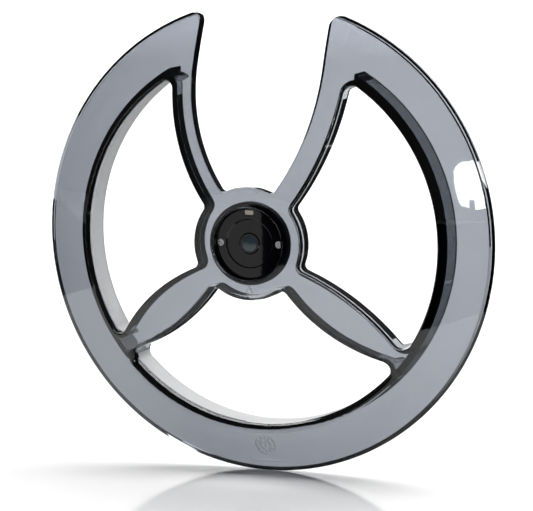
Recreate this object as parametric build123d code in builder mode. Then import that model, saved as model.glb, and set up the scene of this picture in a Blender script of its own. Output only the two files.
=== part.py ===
from build123d import *
from math import asin, degrees, sqrt
import os

# Chainwheel guard disc for a bicycle crank, in millimetres.
# X points right, Y points back towards the bicycle and Z points up, with the crank gap at the top.
# The origin is on the crank axis, where the hub screw's shoulder meets the crank.
# "Depth" is measured backwards from the front plane of the hub.

# Guard disc
outer_radius = 99.8
face_radius = 98.0
plate_thickness = 4.2
flat_radius = 12.5
dome_radius = 168.6
hub_radius = 23.8
ring_inner_radius = 78.6

# Rounded front edges, and the thin lip outside the domed face
window_rounding = 2.5
well_rounding = 0.5
gap_rounding = 0.5
lip_groove_depth = 0.5
lip_groove_width = 0.6
lip_step = 0.25
lip_thickness = 1.6
lip_back_slope = 2.6

# Gap for the crank arm, and the narrow spokes beside it
gap_half_width = 28.6
gap_arc_radius = 87.6
gap_arc_level = 73.5
upper_spoke_width = 9.7
horn_fillet = 4.4
gap_root_fillet = 2.0

# Leaf-shaped lower spokes
leaf_angle = 52.2
leaf_middle = 46.8
leaf_half_width = 8.7
leaf_arc_radius = 84.1
ring_corner_fillet = 4.0
hub_corner_fillet = 2.5

# Walls behind the plate
wall_thickness = 1.8
collar_thickness = 2.6
wall_depth = 9.6
wall_overlap = 1.0
collar_depth = 31.5
collar_overlap = 2.0
collar_end_radius = 73.0
collar_end_slant = 2.5
collar_top_clearance = 41.0

# Stepped well in the hub
well_radius = 15.4
well_wall = 2.0
well_shelf_depth = 4.4
cup_radius = 14.9
cup_floor_depth = 6.6
cup_floor_thickness = 1.0
floor_hole_radius = 11.3

# Moulding marks on the back of the plate
mark_depth = 0.35
mark_line = 0.5
date_ring_level = -87.3
date_ring_radius = 4.4
date_dial_radius = 2.3
date_tick_length = 0.9
date_tick_width = 0.4
bar_level = -94.4
bar_length = 16.0
bar_height = 1.3
triangle_level = -19.9
triangle_radius = 2.3
triangle_line = 0.75

# Hub screw, which clamps the disc to the crank
crank_depth = 8.7
screw_flange_radius = 14.6
screw_flange_depth = 4.7
screw_flange_thickness = 1.3
shoulder_radius = 11.15
spigot_radius = 10.9
spigot_length = 5.4
spigot_chamfer = 0.5
screw_bore_radius = 5.0

# Washers
lock_washer_radius = 14.5
lock_washer_thickness = 0.5
crank_washer_radius = 15.4
crank_washer_thickness = 1.0
stack_gap = 0.05

# Cap over the hub screw
cap_radius = 14.6
cap_depth = 3.0
cap_thickness = 1.6
cap_edge_break = 0.3
cap_dish_radius = 10.4
cap_dish_depth = 0.5
cap_boss_radius = 4.1
gate_mark_level = 7.0
gate_mark_radius = 0.6
gate_mark_height = 0.2
bezel_depth = 0.25
bezel_land = 0.35
bezel_gap = 0.15
bezel_lip = 0.4
seal_section_radius = 0.3
moving_gap = 0.05
well_gap = 0.1

# Cap screws
cap_screw_spacing = 12.9
cap_screw_head_radius = 1.55
cap_screw_head_height = 0.7
cap_screw_head_taper = 8
cap_screw_sink = 0.2
cap_screw_radius = 1.0
cross_slot_length = 1.6
cross_slot_width = 0.35
cross_slot_turn = 40

# Plug in the middle of the cap, and the tab at its edge
plug_radius = 3.3
plug_head_thickness = 0.85
plug_crown_height = 0.6
plug_stem_radius = 2.7
plug_stem_depth = 5.6
plug_stem_chamfer = 0.4
tab_length = 3.8
tab_height = 2.0
tab_level = 13.1
tab_thickness = 0.8
tab_chamfer = 0.2

# Heights that are only large enough to pass right through
through = 50.0
clear = 1.0

face = Plane.XZ.offset(crank_depth)
profile = Plane((0, -crank_depth, 0))
flange_back = screw_flange_depth + screw_flange_thickness
floor_back = cup_floor_depth + cup_floor_thickness
os.makedirs("parts", exist_ok=True)


def dome_depth(radius):
    """Depth of the domed front face at a distance from the axis."""
    reach = max(radius - flat_radius, 0)
    return dome_radius - sqrt(dome_radius**2 - reach**2)


def dome_shell(near, far):
    """The dome between two depths below its front face, measured square to the face."""
    centre = (flat_radius, dome_radius)
    sweep = degrees(asin((outer_radius + 5 * clear - flat_radius) / dome_radius))
    with BuildPart() as shell:
        with BuildSketch(profile):
            with BuildLine():
                near_arc = CenterArc(centre, dome_radius - near, -90, sweep)
                far_arc = CenterArc(centre, dome_radius - far, -90, sweep)
                Line(near_arc @ 1, far_arc @ 1)
                Polyline((flat_radius, near), (0, near), (0, far), (flat_radius, far))
            make_face()
        revolve(axis=Axis.Y)
    return shell.part


def turned(*corners):
    """A body of revolution about the axis from the corners of its section, as radius and depth."""
    with BuildPart() as body:
        with BuildSketch(profile):
            with BuildLine():
                Polyline(*corners, close=True)
            make_face()
        revolve(axis=Axis.Y)
    return body.part


def washer(inner, outer, near, thickness):
    """A flat ring about the axis."""
    far = near + thickness
    return turned((inner, near), (outer, near), (outer, far), (inner, far))


def grown_window(window, growth):
    """A window outline grown by the same amount all round. Every edge of it is an arc."""
    with BuildLine() as rim:
        for edge in window.outer_wire().edges():
            centre = edge.arc_center
            outwards = (edge @ 0.5 - centre).normalized()
            material_outside = not window.is_inside(edge @ 0.5 + outwards * 0.1 * clear)
            new_radius = edge.radius + growth if material_outside else edge.radius - growth
            scale = new_radius / edge.radius
            ThreePointArc(*[centre + (edge @ t - centre) * scale for t in (0, 0.5, 1)])
    return make_face(rim.edges(), mode=Mode.PRIVATE)


def distance(point):
    """Distance of a sketch point or a vertex from the axis, seen from the front."""
    return Vector(point.X, point.Y).length


# ---- Guard disc outlines, seen from the front ----

with BuildSketch(face) as gap:
    with Locations((-(gap_arc_radius - gap_half_width), gap_arc_level)):
        Circle(gap_arc_radius)
    with Locations((gap_arc_radius - gap_half_width, gap_arc_level)):
        Circle(gap_arc_radius, mode=Mode.INTERSECT)
    with Locations((0, gap_arc_level)):
        Rectangle(2 * gap_half_width, through, align=(Align.CENTER, Align.MIN))
    Circle(hub_radius, mode=Mode.SUBTRACT)

with BuildSketch(face) as upper_spokes:
    with Locations((-(gap_arc_radius - gap_half_width), gap_arc_level)):
        Circle(gap_arc_radius + upper_spoke_width)
    with Locations((gap_arc_radius - gap_half_width, gap_arc_level)):
        Circle(gap_arc_radius + upper_spoke_width, mode=Mode.INTERSECT)

with BuildSketch(face) as leaf:
    with Locations((leaf_arc_radius - leaf_half_width, -leaf_middle)):
        Circle(leaf_arc_radius)
    with Locations((leaf_half_width - leaf_arc_radius, -leaf_middle)):
        Circle(leaf_arc_radius, mode=Mode.INTERSECT)

with BuildSketch(face) as windows:
    Circle(ring_inner_radius)
    Circle(hub_radius, mode=Mode.SUBTRACT)
    add(upper_spokes.sketch_local, mode=Mode.SUBTRACT)
    add(leaf.sketch_local.rotate(Axis.Z, leaf_angle), mode=Mode.SUBTRACT)
    add(leaf.sketch_local.rotate(Axis.Z, -leaf_angle), mode=Mode.SUBTRACT)
    ring_corners = windows.vertices().filter_by(lambda v: distance(v) > gap_arc_level)
    fillet(ring_corners, ring_corner_fillet)
    hub_corners = windows.vertices().filter_by(lambda v: distance(v) < hub_radius + 0.1 * clear)
    fillet(hub_corners, hub_corner_fillet)

with BuildSketch(face) as outline:
    Circle(outer_radius)
    add(gap.sketch_local, mode=Mode.SUBTRACT)
    horn_tips = outline.vertices().filter_by(lambda v: distance(v) > face_radius)
    fillet(horn_tips, horn_fillet)
    gap_roots = outline.vertices().filter_by(lambda v: distance(v) < hub_radius + 0.1 * clear)
    fillet(gap_roots, gap_root_fillet)
    add(windows.sketch_local, mode=Mode.SUBTRACT)
    Circle(well_radius, mode=Mode.SUBTRACT)

with BuildSketch(face) as wall_bands:
    for window in windows.sketch_local.faces():
        add(grown_window(window, wall_thickness))
    add(windows.sketch_local, mode=Mode.SUBTRACT)

with BuildSketch(face) as collar_band:
    Circle(ring_inner_radius + collar_thickness)
    Circle(ring_inner_radius, mode=Mode.SUBTRACT)
    Rectangle(
        2 * collar_top_clearance, 2 * outer_radius, align=(Align.CENTER, Align.MIN), mode=Mode.SUBTRACT
    )
    add(wall_bands.sketch_local)

# Marks on the back of the plate: a date dial with ticks, a blank bar and a plain triangle
with BuildSketch(face) as marks:
    with Locations((0, date_ring_level)):
        Circle(date_ring_radius)
        Circle(date_ring_radius - mark_line, mode=Mode.SUBTRACT)
        Circle(date_dial_radius)
        Circle(date_dial_radius - mark_line, mode=Mode.SUBTRACT)
        with PolarLocations((date_ring_radius + date_dial_radius - mark_line) / 2, 12):
            Rectangle(date_tick_length, date_tick_width)
        Rectangle(mark_line, date_dial_radius)
    with Locations((0, bar_level)):
        Rectangle(bar_length, bar_height)
    with Locations((0, triangle_level)):
        RegularPolygon(triangle_radius, 3, rotation=90)
        RegularPolygon(triangle_radius - triangle_line, 3, rotation=90, mode=Mode.SUBTRACT)

# ---- Guard disc ----

lip_front = dome_depth(outer_radius) + lip_step
lip_back = lip_front + lip_thickness
slope_radius = outer_radius - lip_back_slope
slope_depth = dome_depth(slope_radius) + plate_thickness + clear

with BuildPart() as plate:
    extrude(outline.sketch, amount=-through)
    add(dome_shell(0, plate_thickness), mode=Mode.INTERSECT)
    in_front_of_lip = turned(
        (face_radius, 0),
        (face_radius, dome_depth(face_radius) + lip_groove_depth),
        (face_radius + lip_groove_width, dome_depth(face_radius + lip_groove_width) + lip_step),
        (outer_radius, lip_front),
        (outer_radius + clear, lip_front),
        (outer_radius + clear, 0),
    )
    add(in_front_of_lip, mode=Mode.SUBTRACT)
    behind_lip = turned(
        (outer_radius, lip_back),
        (slope_radius, slope_depth),
        (slope_radius, through),
        (outer_radius + clear, through),
        (outer_radius + clear, lip_back),
    )
    add(behind_lip, mode=Mode.SUBTRACT)

with BuildPart() as mark_pockets:
    extrude(marks.sketch, amount=-through)
    add(dome_shell(plate_thickness - mark_depth, plate_thickness + clear), mode=Mode.INTERSECT)

with BuildPart() as shallow_walls:
    extrude(wall_bands.sketch, amount=-through)
    add(dome_shell(plate_thickness - wall_overlap, wall_depth), mode=Mode.INTERSECT)

with BuildPart() as collar:
    extrude(collar_band.sketch, amount=-through)
    collar_outside = ring_inner_radius + collar_thickness + clear
    collar_room = turned(
        (collar_end_radius, dome_depth(collar_end_radius) + collar_overlap),
        (collar_outside, dome_depth(collar_outside) + collar_overlap),
        (collar_outside, collar_depth),
        (collar_end_radius + collar_end_slant, collar_depth),
    )
    add(collar_room, mode=Mode.INTERSECT)

with BuildPart() as well:
    stepped_wall = turned(
        (well_radius, plate_thickness / 2),
        (well_radius + well_wall, plate_thickness / 2),
        (well_radius + well_wall, floor_back),
        (floor_hole_radius, floor_back),
        (floor_hole_radius, cup_floor_depth),
        (cup_radius, cup_floor_depth),
        (cup_radius, well_shelf_depth),
        (well_radius, well_shelf_depth),
    )
    add(stepped_wall)


def domed_face(part):
    """The large domed face at the front of the disc."""
    return part.faces().filter_by(lambda f: f.area > face_radius**2).sort_by(Axis.Y)[0]


with BuildPart() as guard_disc:
    add(plate.part)
    add(shallow_walls.part)
    add(collar.part)
    add(well.part)
    add(mark_pockets.part, mode=Mode.SUBTRACT)
    *window_rims, well_rim = domed_face(guard_disc).inner_wires().sort_by(SortBy.LENGTH, reverse=True)
    fillet([edge for rim in window_rims for edge in rim.edges()], window_rounding)
    fillet(well_rim.edges(), well_rounding)
    gap_edges = [
        edge
        for edge in domed_face(guard_disc).outer_wire().edges()
        if Vector((edge @ 0.5).X, (edge @ 0.5).Z).length < face_radius - 0.1 * clear
    ]
    fillet(gap_edges, gap_rounding)

guard_disc.part.label = "guard_disc"
export_step(guard_disc.part, "parts/guard_disc.step")

# ---- Hub screw and washers ----

with BuildPart() as hub_screw:
    flanged_body = turned(
        (screw_bore_radius, screw_flange_depth),
        (screw_flange_radius, screw_flange_depth),
        (screw_flange_radius, flange_back),
        (shoulder_radius, flange_back),
        (shoulder_radius, crank_depth),
        (spigot_radius, crank_depth),
        (spigot_radius, crank_depth + spigot_length),
        (screw_bore_radius, crank_depth + spigot_length),
    )
    add(flanged_body)
    with BuildSketch(face):
        with Locations((cap_screw_spacing, 0), (-cap_screw_spacing, 0)):
            Circle(cap_screw_radius + moving_gap)
    extrude(amount=-(flange_back + 0.1 * clear), mode=Mode.SUBTRACT)
    spigot_end = hub_screw.faces().sort_by(Axis.Y)[-1]
    chamfer(spigot_end.edges(), spigot_chamfer)

hub_screw.part.label = "hub_screw"
export_step(hub_screw.part, "parts/hub_screw.step")

with BuildPart() as lock_washer:
    add(washer(floor_hole_radius, lock_washer_radius, flange_back + stack_gap, lock_washer_thickness))

lock_washer.part.label = "lock_washer"
export_step(lock_washer.part, "parts/lock_washer.step")

with BuildPart() as crank_washer:
    add(washer(floor_hole_radius, crank_washer_radius, floor_back + stack_gap, crank_washer_thickness))

crank_washer.part.label = "crank_washer"
export_step(crank_washer.part, "parts/crank_washer.step")

# ---- Cap over the hub screw ----

cap_back = cap_depth + cap_thickness
plug_seat_depth = cap_depth + plug_head_thickness + moving_gap
screw_spots = GridLocations(2 * cap_screw_spacing, 0, 2, 1).locations

with BuildPart() as hub_cap:
    dished_disc = turned(
        (plug_radius + moving_gap, cap_depth),
        (cap_boss_radius, cap_depth),
        (cap_boss_radius + cap_dish_depth, cap_depth + cap_dish_depth),
        (cap_dish_radius - cap_dish_depth, cap_depth + cap_dish_depth),
        (cap_dish_radius, cap_depth),
        (cap_radius - cap_edge_break, cap_depth),
        (cap_radius, cap_depth + cap_edge_break),
        (cap_radius, cap_back),
        (plug_stem_radius + moving_gap, cap_back),
        (plug_stem_radius + moving_gap, plug_seat_depth),
        (plug_radius + moving_gap, plug_seat_depth),
    )
    add(dished_disc)
    with BuildSketch(face.offset(-(cap_depth + cap_dish_depth))):
        with Locations((0, gate_mark_level)):
            Circle(gate_mark_radius)
    extrude(amount=gate_mark_height)
    with BuildSketch(face):
        with Locations(*screw_spots):
            Circle(cap_screw_radius + well_gap)
    extrude(amount=-through, mode=Mode.SUBTRACT)
    with BuildSketch(face):
        with Locations(*screw_spots):
            Circle(cap_screw_head_radius + well_gap)
    extrude(amount=-(cap_depth + cap_screw_head_height + cap_screw_sink), mode=Mode.SUBTRACT)
    with BuildSketch(face):
        with Locations((0, tab_level)):
            Rectangle(tab_length + well_gap, tab_height + well_gap)
    extrude(amount=-(cap_depth + tab_thickness), mode=Mode.SUBTRACT)

hub_cap.part.label = "hub_cap"
export_step(hub_cap.part, "parts/hub_cap.step")

with BuildPart() as cap_screws:
    head_top_depth = cap_depth + cap_screw_sink
    head_seat_depth = head_top_depth + cap_screw_head_height
    with BuildSketch(face.offset(-head_seat_depth)):
        with Locations(*screw_spots):
            Circle(cap_screw_head_radius)
    extrude(amount=cap_screw_head_height, taper=cap_screw_head_taper)
    with BuildSketch(face.offset(-head_seat_depth)):
        with Locations(*screw_spots):
            Circle(cap_screw_radius)
    extrude(amount=-(flange_back - head_seat_depth))
    with BuildSketch(face.offset(-head_top_depth)):
        with Locations(*screw_spots):
            Rectangle(cross_slot_length, cross_slot_width, rotation=cross_slot_turn)
            Rectangle(cross_slot_width, cross_slot_length, rotation=cross_slot_turn)
    extrude(amount=-cross_slot_width, mode=Mode.SUBTRACT)

cap_screws.part.label = "cap_screws"
export_step(cap_screws.part, "parts/cap_screws.step")

with BuildPart() as cap_bezel:
    bezel_radius = well_radius - well_gap
    bezel_back = cap_depth - stack_gap
    flared_ring = turned(
        (bezel_radius, bezel_depth),
        (bezel_radius - bezel_land, bezel_depth),
        (cap_radius + bezel_gap, bezel_back - bezel_lip),
        (cap_radius + bezel_gap, bezel_back),
        (bezel_radius, bezel_back),
    )
    add(flared_ring)

cap_bezel.part.label = "cap_bezel"
export_step(cap_bezel.part, "parts/cap_bezel.step")

with BuildPart() as cap_seal:
    seal_middle_radius = well_radius - well_gap - seal_section_radius
    seal_middle_depth = well_shelf_depth - stack_gap - seal_section_radius
    with BuildSketch(profile):
        with Locations((seal_middle_radius, seal_middle_depth)):
            Circle(seal_section_radius)
    revolve(axis=Axis.Y)

cap_seal.part.label = "cap_seal"
export_step(cap_seal.part, "parts/cap_seal.step")

with BuildPart() as index_tab:
    with BuildSketch(face.offset(-(cap_depth + tab_thickness - moving_gap))):
        with Locations((0, tab_level)):
            Rectangle(tab_length, tab_height)
    extrude(amount=tab_thickness)
    tab_front = index_tab.faces().sort_by(Axis.Y)[0]
    chamfer(tab_front.edges(), tab_chamfer)

index_tab.part.label = "index_tab"
export_step(index_tab.part, "parts/index_tab.step")

with BuildPart() as centre_plug:
    crown_top = cap_depth - plug_crown_height
    crown_side = cap_depth - 0.75 * plug_crown_height
    plug_head_back = cap_depth + plug_head_thickness
    with BuildSketch(profile):
        with BuildLine():
            crown = ThreePointArc((0, crown_top), (plug_radius / 2, crown_side), (plug_radius, cap_depth))
            Polyline(
                crown @ 1,
                (plug_radius, plug_head_back),
                (plug_stem_radius, plug_head_back),
                (plug_stem_radius, plug_stem_depth - plug_stem_chamfer),
                (plug_stem_radius - plug_stem_chamfer, plug_stem_depth),
                (0, plug_stem_depth),
                crown @ 0,
            )
        make_face()
    revolve(axis=Axis.Y)

centre_plug.part.label = "centre_plug"
export_step(centre_plug.part, "parts/centre_plug.step")
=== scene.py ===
"""Looks, camera and studio for the chainwheel guard disc. Lengths are in metres."""
import math

import bpy
from mathutils import Matrix, Vector


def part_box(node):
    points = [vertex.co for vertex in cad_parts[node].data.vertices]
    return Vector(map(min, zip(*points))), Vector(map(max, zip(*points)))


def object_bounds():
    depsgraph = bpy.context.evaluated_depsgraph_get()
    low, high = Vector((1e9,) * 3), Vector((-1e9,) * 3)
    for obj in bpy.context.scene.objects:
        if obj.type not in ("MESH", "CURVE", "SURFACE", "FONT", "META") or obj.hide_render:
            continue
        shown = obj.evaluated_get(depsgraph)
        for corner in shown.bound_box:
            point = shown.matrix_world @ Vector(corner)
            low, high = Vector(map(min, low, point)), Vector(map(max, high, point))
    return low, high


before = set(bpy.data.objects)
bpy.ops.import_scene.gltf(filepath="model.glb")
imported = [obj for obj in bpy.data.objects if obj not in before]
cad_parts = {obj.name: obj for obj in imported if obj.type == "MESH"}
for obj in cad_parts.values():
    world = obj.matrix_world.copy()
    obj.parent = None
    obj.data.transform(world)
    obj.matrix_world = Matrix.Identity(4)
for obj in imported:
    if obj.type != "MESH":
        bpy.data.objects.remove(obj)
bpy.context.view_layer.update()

# ---- Camera ----

CAMERA_PLACE = Vector((0.5642, -1.4338, 0.2132))
CAMERA_FORWARD = Vector((-0.3595, 0.9225, -0.1407))
CAMERA_UP = Vector((-0.0457, 0.1332, 0.9900))
CAMERA_LENS_MM = 252.0
CAMERA_SENSOR_MM = 36.0
CAMERA_REACH = 50.0


def add_camera():
    """A long lens to the right of the disc and a little above it."""
    data = bpy.data.cameras.new("camera")
    data.lens = CAMERA_LENS_MM
    data.sensor_width = CAMERA_SENSOR_MM
    data.clip_end = CAMERA_REACH
    camera = bpy.data.objects.new("camera", data)
    bpy.context.scene.collection.objects.link(camera)
    back = -CAMERA_FORWARD.normalized()
    right = CAMERA_UP.cross(back).normalized()
    up = back.cross(right)
    turn = Matrix((right, up, back)).transposed().to_4x4()
    camera.matrix_world = Matrix.Translation(CAMERA_PLACE) @ turn
    bpy.context.scene.camera = camera


# ---- Node helpers ----

# Most of a noise texture's values lie between these two
NOISE_LOW = 0.3
NOISE_HIGH = 0.7


def new_material(name):
    """A node material with its Principled shader and output, and its nodes and links."""
    material = bpy.data.materials.new(name)
    material.use_nodes = True
    return material, material.node_tree.nodes, material.node_tree.links


def shader_of(nodes):
    """The Principled shader of a new material."""
    return next(n for n in nodes if n.type == "BSDF_PRINCIPLED")


def output_of(nodes):
    """The output of a new material."""
    return next(n for n in nodes if n.type == "OUTPUT_MATERIAL")


def object_place(nodes):
    """The place on an object, in the object's own space and in metres."""
    return nodes.new("ShaderNodeTexCoord").outputs["Object"]


def split_vector(nodes, links, vector):
    """The X, Y and Z of a vector."""
    split = nodes.new("ShaderNodeSeparateXYZ")
    links.new(vector, split.inputs["Vector"])
    return split.outputs["X"], split.outputs["Y"], split.outputs["Z"]


def math_node(nodes, links, operation, *values):
    """One arithmetic node. Each value is a number or another node's output."""
    node = nodes.new("ShaderNodeMath")
    node.operation = operation
    for socket, value in zip(node.inputs, values):
        if isinstance(value, (int, float)):
            socket.default_value = value
        else:
            links.new(value, socket)
    return node.outputs["Value"]


def add_noise(nodes, links, scale, detail=4.0):
    """Noise in the object's own space, so that its scale is per metre."""
    noise = nodes.new("ShaderNodeTexNoise")
    noise.inputs["Scale"].default_value = scale
    noise.inputs["Detail"].default_value = detail
    links.new(object_place(nodes), noise.inputs["Vector"])
    return noise.outputs["Fac"]


def add_range(nodes, links, value, from_range, to_range, interpolation="LINEAR"):
    """Spreads a value from one range over another, and holds it at the ends."""
    spread = nodes.new("ShaderNodeMapRange")
    spread.interpolation_type = interpolation
    spread.inputs["From Min"].default_value = from_range[0]
    spread.inputs["From Max"].default_value = from_range[1]
    spread.inputs["To Min"].default_value = to_range[0]
    spread.inputs["To Max"].default_value = to_range[1]
    links.new(value, spread.inputs["Value"])
    return spread.outputs["Result"]


def add_mix(nodes, links, factor, first, second):
    """A colour between two others."""
    mix = nodes.new("ShaderNodeMix")
    mix.data_type = "RGBA"
    mix.inputs["A"].default_value = (*first, 1)
    mix.inputs["B"].default_value = (*second, 1)
    links.new(factor, mix.inputs["Factor"])
    return mix.outputs["Result"]


def add_bump(nodes, links, shader, height, distance, strength):
    """A fine relief on the surface."""
    bump = nodes.new("ShaderNodeBump")
    bump.inputs["Distance"].default_value = distance
    bump.inputs["Strength"].default_value = strength
    links.new(height, bump.inputs["Height"])
    links.new(bump.outputs["Normal"], shader.inputs["Normal"])


# ---- Materials ----

# The dome of the disc, as in the CAD: flat in the middle, then an arc
HUB_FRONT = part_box("guard_disc")[0][1]
DOME_FLAT = 0.0125
DOME_RADIUS = 0.1686

# Depths behind the dome, radii, and how squarely a face has to point one way
WALL_ENDS_DEPTH = 0.0056
PLATE_BACK_DEPTH = 0.0043
WELL_OUTSIDE = 0.0185
COLLAR_INSIDE = 0.0700
FACES_THERE = 0.7

# Clear plastic
PLASTIC_IOR = 1.585
CLEAR_TONE = (1, 1, 1)
# Near-black base colour for the wall ends, the walls' sides seen from inside and the well back:
# painted shade for their dark edges
PAINTED_SHADE_TONE = (0.0004, 0.0004, 0.0006)
SMOKE_TINT = (0.049, 0.098, 0.175, 1)
SMOKE_DENSITY = 340.0
POLISH_SCALE = 60.0
POLISH_ROUGHNESS = 0.04
TEXTURE_ROUGHNESS = 0.4
FROST_SHARE = 0.5
FLOW_SCALE = 25.0
FLOW_HEIGHT = 0.00004

# Solid mouldings vary by these shares of their colour and roughness, and their tone is this much
# coarser than their grain
TONE_SPREAD = 0.2
GLOSS_SPREAD = 0.3
TONE_COARSENESS = 8

# Steel
TURNING_SCALE = 900.0
TURNING_HEIGHT = 0.00001
STEEL_DARK = (0.50, 0.50, 0.51)
STEEL_PALE = (0.60, 0.60, 0.62)
STEEL_ROUGHNESS = (0.22, 0.30)


def depth_behind_dome(nodes, links, along, radius):
    """How far a point lies behind the front of the domed plate."""
    reach = math_node(nodes, links, "SUBTRACT", radius, DOME_FLAT)
    reach = math_node(nodes, links, "MAXIMUM", reach, 0.0)
    height = math_node(nodes, links, "POWER", reach, 2.0)
    height = math_node(nodes, links, "SUBTRACT", DOME_RADIUS**2, height)
    height = math_node(nodes, links, "SQRT", height)
    drop = math_node(nodes, links, "SUBTRACT", DOME_RADIUS, height)
    depth = math_node(nodes, links, "SUBTRACT", along, HUB_FRONT)
    return math_node(nodes, links, "SUBTRACT", depth, drop)


def painted_shade_and_frost_masks(nodes, links):
    """Two masks of the clear disc: painted shade on its walls and well back, and its collar's
    frosted inside.

    Wall ends face along the axis and lie deeper behind the dome than the plate's back. The walls'
    sides get the painted shade only from inside the plastic, and the collar is frosted only from
    the air.
    """
    x, y, z = split_vector(nodes, links, object_place(nodes))
    across = math_node(nodes, links, "POWER", x, 2.0)
    upwards = math_node(nodes, links, "POWER", z, 2.0)
    radius = math_node(nodes, links, "SQRT", math_node(nodes, links, "ADD", across, upwards))
    depth = depth_behind_dome(nodes, links, y, radius)
    on_walls = math_node(nodes, links, "GREATER_THAN", depth, WALL_ENDS_DEPTH)
    behind_plate = math_node(nodes, links, "GREATER_THAN", depth, PLATE_BACK_DEPTH)

    shape = nodes.new("ShaderNodeNewGeometry")
    from_inside = shape.outputs["Backfacing"]
    from_air = math_node(nodes, links, "SUBTRACT", 1.0, from_inside)
    facing_x, facing_y, facing_z = split_vector(nodes, links, shape.outputs["True Normal"])

    along_axis = math_node(nodes, links, "ABSOLUTE", facing_y)
    end_on = math_node(nodes, links, "GREATER_THAN", along_axis, FACES_THERE)
    wall_ends = math_node(nodes, links, "MULTIPLY", end_on, on_walls)
    near_axis = math_node(nodes, links, "LESS_THAN", radius, WELL_OUTSIDE)
    well_back = math_node(nodes, links, "MULTIPLY", near_axis, behind_plate)
    dark = math_node(nodes, links, "MAXIMUM", wall_ends, well_back)
    wall_sides = math_node(nodes, links, "LESS_THAN", radius, COLLAR_INSIDE)
    for condition in (on_walls, from_inside):
        wall_sides = math_node(nodes, links, "MULTIPLY", wall_sides, condition)
    dark = math_node(nodes, links, "MAXIMUM", dark, wall_sides)

    outwards_x = math_node(nodes, links, "MULTIPLY", facing_x, x)
    outwards_z = math_node(nodes, links, "MULTIPLY", facing_z, z)
    outwards = math_node(nodes, links, "ADD", outwards_x, outwards_z)
    outwards = math_node(nodes, links, "DIVIDE", outwards, radius)
    frosted = math_node(nodes, links, "LESS_THAN", outwards, -FACES_THERE)
    far_out = math_node(nodes, links, "GREATER_THAN", radius, COLLAR_INSIDE)
    for condition in (far_out, from_air, on_walls):
        frosted = math_node(nodes, links, "MULTIPLY", frosted, condition)
    return dark, frosted


def smoke_clear():
    """Clear polycarbonate, tinted smoke-grey through its whole thickness."""
    material, nodes, links = new_material("smoke_clear")
    shader = shader_of(nodes)
    shader.inputs["IOR"].default_value = PLASTIC_IOR

    dark, frosted = painted_shade_and_frost_masks(nodes, links)
    clear_share = math_node(nodes, links, "MULTIPLY_ADD", frosted, -FROST_SHARE, 1.0)
    links.new(clear_share, shader.inputs["Transmission Weight"])
    # Painted shade: a near-black base colour where the walls and well back are masked
    tone = add_mix(nodes, links, dark, CLEAR_TONE, PAINTED_SHADE_TONE)
    links.new(tone, shader.inputs["Base Color"])

    smears = add_noise(nodes, links, POLISH_SCALE)
    polish = add_range(nodes, links, smears, (NOISE_LOW, NOISE_HIGH), (0.0, POLISH_ROUGHNESS))
    matte = math_node(nodes, links, "MAXIMUM", dark, frosted)
    rough = math_node(nodes, links, "MULTIPLY_ADD", matte, TEXTURE_ROUGHNESS, polish)
    links.new(rough, shader.inputs["Roughness"])
    flow = add_noise(nodes, links, FLOW_SCALE, detail=2.0)
    add_bump(nodes, links, shader, flow, FLOW_HEIGHT, strength=0.5)

    tint = nodes.new("ShaderNodeVolumeAbsorption")
    tint.inputs["Color"].default_value = SMOKE_TINT
    tint.inputs["Density"].default_value = SMOKE_DENSITY
    links.new(tint.outputs["Volume"], output_of(nodes).inputs["Volume"])
    return material


def moulded(name, colour, roughness, grain=400.0, depth=0.00002):
    """A solid-coloured moulding with a faint change of tone and gloss."""
    material, nodes, links = new_material(name)
    shader = shader_of(nodes)
    deeper = [(1 - TONE_SPREAD) * c for c in colour]
    paler = [(1 + TONE_SPREAD) * c for c in colour]
    tone = add_mix(nodes, links, add_noise(nodes, links, grain / TONE_COARSENESS), deeper, paler)
    links.new(tone, shader.inputs["Base Color"])
    relief = add_noise(nodes, links, grain)
    roughnesses = (roughness * (1 - GLOSS_SPREAD), roughness * (1 + GLOSS_SPREAD))
    gloss = add_range(nodes, links, relief, (NOISE_LOW, NOISE_HIGH), roughnesses)
    links.new(gloss, shader.inputs["Roughness"])
    add_bump(nodes, links, shader, relief, depth, strength=0.4)
    return material


def turned_steel():
    """Zinc-plated steel with a fine grain."""
    material, nodes, links = new_material("turned_steel")
    shader = shader_of(nodes)
    shader.inputs["Metallic"].default_value = 1.0
    marks = add_noise(nodes, links, TURNING_SCALE)
    tone = add_mix(nodes, links, marks, STEEL_DARK, STEEL_PALE)
    links.new(tone, shader.inputs["Base Color"])
    gloss = add_range(nodes, links, marks, (NOISE_LOW, NOISE_HIGH), STEEL_ROUGHNESS)
    links.new(gloss, shader.inputs["Roughness"])
    add_bump(nodes, links, shader, marks, TURNING_HEIGHT, strength=0.4)
    return material


def finish_node(node, material):
    """Gives a CAD node one material all over."""
    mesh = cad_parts[node].data
    mesh.materials.clear()
    mesh.materials.append(material)


# ---- Studio ----

TABLE_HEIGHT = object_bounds()[0][2]
TABLE_TONE = (0.9, 0.9, 0.9, 1)
TABLE_ROUGHNESS = 0.1
TABLE_IOR = 1.26
TABLE_SPECULAR = 0.5
FLAG_TONE = (0.01, 0.01, 0.01, 1)
FLAG_LIFT = 0.001
KEY_RADIANCE = 15.0
WORLD_STRENGTH = 0.06


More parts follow.
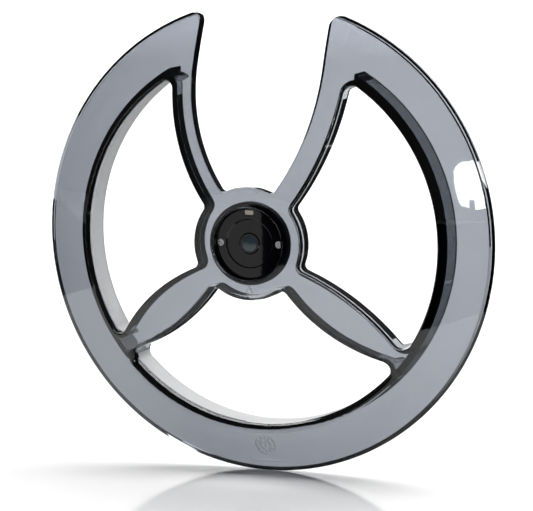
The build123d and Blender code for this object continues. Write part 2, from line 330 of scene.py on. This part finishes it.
def add_floor():
    """A glossy white table that runs far behind the disc and curves up into a backdrop.

    Its gloss fades towards the front.
    """
    half_width, front, matt_from, gloss_from = 8.0, -6.0, -1.1, -0.3
    far, rise, bend, steps = 4.0, 3.0, 1.0, 12
    line = [(front, 0.0), (far, 0.0)]
    for step in range(1, steps + 1):
        turn = math.pi / 2 * step / steps
        line.append((far + bend * math.sin(turn), bend * (1 - math.cos(turn))))
    line.append((far + bend, rise))
    points = [(x, y, TABLE_HEIGHT + z) for y, z in line for x in (-half_width, half_width)]
    faces = [(2 * i, 2 * i + 1, 2 * i + 3, 2 * i + 2) for i in range(len(line) - 1)]
    mesh = bpy.data.meshes.new("floor")
    mesh.from_pydata(points, [], faces)
    floor = bpy.data.objects.new("floor", mesh)
    bpy.context.scene.collection.objects.link(floor)

    material, nodes, links = new_material("floor_gloss")
    shader = shader_of(nodes)
    shader.inputs["Base Color"].default_value = TABLE_TONE
    shader.inputs["Roughness"].default_value = TABLE_ROUGHNESS
    shader.inputs["IOR"].default_value = TABLE_IOR
    along = split_vector(nodes, links, object_place(nodes))[1]
    gloss_range = (0.0, TABLE_SPECULAR)
    gloss = add_range(nodes, links, along, (matt_from, gloss_from), gloss_range, "SMOOTHERSTEP")
    links.new(gloss, shader.inputs["Specular IOR Level"])
    mesh.materials.append(material)


def add_softbox(name, place, target, width, height, power):
    """A rectangular area light aimed at a point."""
    data = bpy.data.lights.new(name, "AREA")
    data.shape = "RECTANGLE"
    data.size = width
    data.size_y = height
    data.energy = power
    light = bpy.data.objects.new(name, data)
    light.location = place
    aim = Vector(target) - Vector(place)
    light.rotation_euler = aim.to_track_quat("-Z", "Y").to_euler()
    bpy.context.scene.collection.objects.link(light)


def add_card(name, corners, front):
    """A card that shows the front shader on one side only. The camera doesn't see it.

    The front shader is given as a node type, an input and its value.
    """
    mesh = bpy.data.meshes.new(name)
    mesh.from_pydata(corners, [], [tuple(range(len(corners)))])
    card = bpy.data.objects.new(name, mesh)
    bpy.context.scene.collection.objects.link(card)
    card.visible_camera = False
    material, nodes, links = new_material(name)
    nodes.remove(shader_of(nodes))
    node_type, input_name, value = front
    front_shader = nodes.new(node_type)
    front_shader.inputs[input_name].default_value = value
    back_shader = nodes.new("ShaderNodeBsdfTransparent")
    sides = nodes.new("ShaderNodeMixShader")
    shape = nodes.new("ShaderNodeNewGeometry")
    links.new(shape.outputs["Backfacing"], sides.inputs["Fac"])
    links.new(front_shader.outputs[0], sides.inputs[1])
    links.new(back_shader.outputs["BSDF"], sides.inputs[2])
    links.new(sides.outputs["Shader"], output_of(nodes).inputs["Surface"])
    mesh.materials.append(material)
    return card


def add_key():
    """A bright card to the right of the camera, which makes the highlight on the ring.

    It has one rounded corner and a notch in its lower edge. The outline runs clockwise from the
    upper right, as seen from behind the card.
    """
    centre = Vector((1.006, -1.173, 0.241))
    across = Vector((0.787, 0.617, 0.0))
    upwards = Vector((0.0, 0.0, 1.0))
    right_side = [(0.125, 0.173), (0.125, -0.172)]
    notch = [(0.035, -0.172), (0.035, -0.110), (-0.005, -0.110), (-0.005, -0.162)]
    left_side = [(-0.069, -0.154), (-0.094, -0.125), (-0.118, -0.029), (-0.124, 0.088)]
    round_corner = [(-0.104, 0.129), (-0.079, 0.154), (-0.048, 0.168), (-0.005, 0.173)]
    outline = right_side + notch + left_side + round_corner
    corners = [centre + u * across + v * upwards for u, v in outline]
    add_card("key", corners, ("ShaderNodeEmission", "Strength", KEY_RADIANCE))


def add_flag(name, corners, seen_through_disc):
    """A black card that casts no shadow.

    Reflections see it, and light that comes through the disc does if seen_through_disc is set.
    """
    flag = add_card(name, corners, ("ShaderNodeBsdfDiffuse", "Color", FLAG_TONE))
    flag.visible_diffuse = False
    flag.visible_shadow = False
    flag.visible_transmission = seen_through_disc


def add_flags():
    """Black cards round the bright opening behind the disc, which give clear plastic dark edges.

    Four lie on the table: left and right of the view, between those two, and in front on the
    right. Three stand at the far end. One stands in front, where the right of the cap mirrors it.
    """
    low = TABLE_HEIGHT + FLAG_LIFT
    wide, far, top, lintel = 6.0, 3.0, 3.0, 0.75
    near_left, near_right, far_left, far_right = -0.3, 0.25, -1.75, -0.72
    left_front, left_bend, middle_front, right_front = -0.3, 0.25, 0.04, 0.06
    front_left, front_right, front_near, front_far = 0.12, 3.0, -3.0, -0.1

    left = [(-wide, left_front), (near_left, left_front), (near_left, left_bend)]
    left += [(far_left, far), (-wide, far)]
    right = [(near_right, right_front), (wide, right_front), (wide, far), (far_right, far)]
    middle = [(near_left, middle_front), (near_right, middle_front)]
    middle += [(far_right, far), (far_left, far), (near_left, left_bend)]
    front = [(front_left, front_near), (front_right, front_near)]
    front += [(front_right, front_far), (front_left, front_far)]
    for name, outline, seen_through_disc in (
        ("flag_table_left", left, True),
        ("flag_table_right", right, True),
        ("flag_table_middle", middle, False),
        ("flag_table_front", front, False),
    ):
        add_flag(name, [(x, y, low) for x, y in outline], seen_through_disc)

    cap_left, cap_right, cap_distance, cap_top = -0.188, 0.0, -0.5, -0.02
    beside_cap = [(cap_right, low), (cap_left, low), (cap_left, cap_top), (cap_right, cap_top)]
    add_flag("flag_beside_cap", [(x, cap_distance, z) for x, z in beside_cap], False)
    for name, from_x, to_x, bottom in (
        ("flag_far_left", -wide, far_left, low),
        ("flag_far_right", far_right, wide, low),
        ("flag_above", far_left, far_right, lintel),
    ):
        outline = [(from_x, bottom), (to_x, bottom), (to_x, top), (from_x, top)]
        add_flag(name, [(x, far, z) for x, z in outline], True)


def add_world():
    """A little even white light from all round."""
    world = bpy.data.worlds.new("studio")
    world.use_nodes = True
    bpy.context.scene.world = world
    background = world.node_tree.nodes["Background"]
    background.inputs["Color"].default_value = (1, 1, 1, 1)
    background.inputs["Strength"].default_value = WORLD_STRENGTH


# ---- Assembly ----

smoke = smoke_clear()
gloss_black = moulded("gloss_black", (0.002, 0.0018, 0.003), 0.02, grain=150.0, depth=0.00001)
rubber = moulded("black_rubber", (0.012, 0.012, 0.012), 0.45, depth=0.00005)
teal = moulded("teal_plastic", (0.03, 0.05, 0.06), 0.12)
pale = moulded("pale_plastic", (0.50, 0.45, 0.40), 0.35)
steel = turned_steel()
for node, material in {
    "guard_disc": smoke,
    "hub_cap": gloss_black,
    "cap_bezel": gloss_black,
    "cap_seal": rubber,
    "crank_washer": rubber,
    "centre_plug": teal,
    "index_tab": pale,
    "hub_screw": steel,
    "lock_washer": steel,
    "cap_screws": steel,
}.items():
    finish_node(node, material)

add_camera()
add_floor()
add_flags()
add_world()
add_softbox("overhead", (0.0, 1.6, 2.6), (0, 1.6, 0), width=5.0, height=3.0, power=205.0)
add_softbox("backdrop", (0.0, 2.2, 1.2), (0, 5.0, 0.6), width=4.0, height=1.0, power=125.0)
add_key()

scene = bpy.context.scene
scene.view_settings.view_transform = "Standard"
scene.cycles.max_bounces = 24
scene.cycles.transmission_bounces = 24
scene.cycles.transparent_max_bounces = 16
